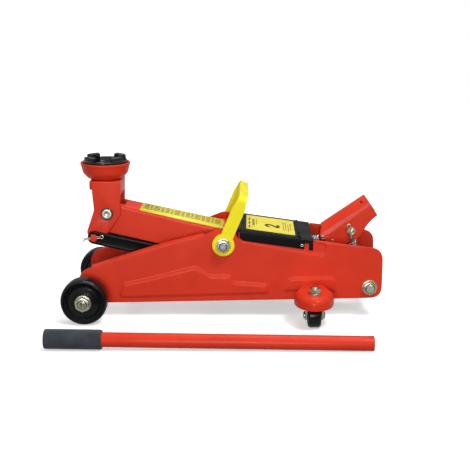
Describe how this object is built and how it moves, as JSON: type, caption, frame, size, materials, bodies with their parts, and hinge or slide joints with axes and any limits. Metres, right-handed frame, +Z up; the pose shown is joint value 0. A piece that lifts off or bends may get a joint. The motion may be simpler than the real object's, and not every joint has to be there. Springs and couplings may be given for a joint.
{
  "type": "trolley jack",
  "caption": "Low hydraulic floor jack on wheels: lifting arm with round saddle, pump socket, carry handle, cover, and a loose lever with foam grip.",
  "frame": {"origin": "on the floor, under the centre of the box round the whole object, lever included", "axes": "+X from the saddle end towards the lever socket, +Y away from the loose lever, +Z up"},
  "size_m": [0.444, 0.3208, 0.2191],
  "materials": {
    "red_paint": "gloss red enamel",
    "black_paint": "gloss black enamel",
    "yellow_paint": "gloss yellow enamel",
    "zinc_plate": "zinc plated",
    "bare_steel": "ground steel",
    "black_casting": "black coated casting",
    "hard_rubber": "moulded hard black wheel",
    "foam": "closed-cell foam"
  },
  "bodies": {
    "frame": {"side_plate_near": "red_paint", "side_plate_far": "red_paint", "front_axle_near": "zinc_plate", "front_axle_far": "zinc_plate", "wheel_nut_near": "zinc_plate", "wheel_nut_far": "zinc_plate", "caster_bracket_near": "red_paint", "caster_bracket_far": "red_paint", "caster_stud_near": "zinc_plate", "caster_stud_far": "zinc_plate", "caster_nut_near": "zinc_plate", "caster_nut_far": "zinc_plate", "caster_race_near": "zinc_plate", "caster_race_far": "zinc_plate", "pivot_nut_near": "zinc_plate", "pivot_nut_far": "zinc_plate", "rod_stud_near": "zinc_plate", "rod_stud_far": "zinc_plate", "front_tie": "red_paint", "pivot_shaft": "bare_steel", "power_block": "black_casting", "ram_cylinder": "bare_steel", "oil_reservoir": "black_paint", "ram_gland": "bare_steel", "pump_gland": "zinc_plate", "rear_bolt": "zinc_plate", "rear_nut": "zinc_plate", "cover": "black_paint"},
    "arm": {"lift_arm": "red_paint", "heel_pin": "bare_steel", "heel_roller": "bare_steel"},
    "head": {"head_bracket": "red_paint", "head_pin": "zinc_plate", "front_rod_pin": "red_paint"},
    "saddle": {"saddle": "black_casting", "saddle_circlip": "bare_steel"},
    "rod_near": {"link_rod_near": "black_paint"},
    "rod_far": {"link_rod_far": "black_paint"},
    "ram": {"ram": "bare_steel"},
    "socket": {"handle_socket": "red_paint", "socket_pin": "zinc_plate", "pump_pin": "zinc_plate", "pump_roller": "bare_steel"},
    "plunger": {"pump_plunger": "bare_steel"},
    "valve": {"release_valve": "zinc_plate"},
    "carry_handle": {"carry_handle": "yellow_paint"},
    "wheel_near": {"front_wheel_near": "hard_rubber"},
    "wheel_far": {"front_wheel_far": "hard_rubber"},
    "caster_near": {"caster_fork_near": "zinc_plate", "caster_axle_near": "bare_steel"},
    "caster_far": {"caster_fork_far": "zinc_plate", "caster_axle_far": "bare_steel"},
    "caster_wheel_near": {"caster_wheel_near": "hard_rubber"},
    "caster_wheel_far": {"caster_wheel_far": "hard_rubber"},
    "lever": {"lever": "red_paint", "lever_grip": "foam"}
  },
  "joints": [
    {"name": "arm_lift", "type": "hinge", "parent": "frame", "child": "arm", "pos_m": [0.00304, 0.0364, 0.105], "axis": [0, 1, 0], "range_deg": [-28.5, 37.5]},
    {"name": "head_level", "type": "hinge", "parent": "arm", "child": "head", "pos_m": [-0.16, 0.0364, 0.14114], "axis": [0, 1, 0], "range_deg": [-37.6, 28.6]},
    {"name": "saddle_turn", "type": "hinge", "parent": "head", "child": "saddle", "pos_m": [-0.164, 0.0364, 0.20714], "axis": [0, 0, 1], "continuous": true},
    {"name": "rod_near_swing", "type": "hinge", "parent": "frame", "child": "rod_near", "pos_m": [-0.01546, 0.0054, 0.072], "axis": [0, 1, 0], "range_deg": [-28.6, 37.6]},
    {"name": "rod_far_swing", "type": "hinge", "parent": "frame", "child": "rod_far", "pos_m": [-0.01546, 0.0674, 0.072], "axis": [0, 1, 0], "range_deg": [-28.6, 37.6]},
    {"name": "ram_stroke", "type": "slide", "parent": "frame", "child": "ram", "axis": [-1, 0, 0], "range_m": [-0.0208, 0.0273]},
    {"name": "socket_swing", "type": "hinge", "parent": "frame", "child": "socket", "pos_m": [0.14904, 0.0364, 0.104], "axis": [0, 1, 0], "range_deg": [-24, 20]},
    {"name": "plunger_stroke", "type": "slide", "parent": "frame", "child": "plunger", "axis": [0, 0, -1], "range_m": [-0.0135, 0.0112]},
    {"name": "valve_turn", "type": "hinge", "parent": "frame", "child": "valve", "pos_m": [0.19404, 0.0364, 0.069], "axis": [1, 0, 0], "range_deg": [0, 270]},
    {"name": "carry_handle_swing", "type": "hinge", "parent": "frame", "child": "carry_handle", "pos_m": [0.00304, 0.0364, 0.105], "axis": [0, 1, 0], "range_deg": [-34.5, 45.5]},
    {"name": "wheel_near_roll", "type": "hinge", "parent": "frame", "child": "wheel_near", "pos_m": [-0.18646, -0.0451, 0.032], "axis": [0, 1, 0], "continuous": true},
    {"name": "wheel_far_roll", "type": "hinge", "parent": "frame", "child": "wheel_far", "pos_m": [-0.18646, 0.1179, 0.032], "axis": [0, 1, 0], "continuous": true},
    {"name": "caster_near_swivel", "type": "hinge", "parent": "frame", "child": "caster_near", "pos_m": [0.12664, -0.0646, 0.04], "axis": [0, 0, 1], "continuous": true},
    {"name": "caster_far_swivel", "type": "hinge", "parent": "frame", "child": "caster_far", "pos_m": [0.12664, 0.1374, 0.04], "axis": [0, 0, 1], "continuous": true},
    {"name": "caster_wheel_near_roll", "type": "hinge", "parent": "caster_near", "child": "caster_wheel_near", "pos_m": [0.12664, -0.0576, 0.017], "axis": [1, 0, 0], "continuous": true},
    {"name": "caster_wheel_far_roll", "type": "hinge", "parent": "caster_far", "child": "caster_wheel_far", "pos_m": [0.12664, 0.1304, 0.017], "axis": [1, 0, 0], "continuous": true},
    {"name": "lever_lift", "type": "slide", "parent": "frame", "child": "lever", "axis": [0, 0, 1], "range_m": [0, 0.3]}
  ],
  "couplings": [
    {"joint": "head_level", "follows": "arm_lift", "ratio": -1},
    {"joint": "rod_near_swing", "follows": "arm_lift", "ratio": 1},
    {"joint": "rod_far_swing", "follows": "arm_lift", "ratio": 1},
    {"joint": "ram_stroke", "follows": "arm_lift", "m_per_rad": 0.0416},
    {"joint": "plunger_stroke", "follows": "socket_swing", "m_per_rad": 0.032}
  ]
}
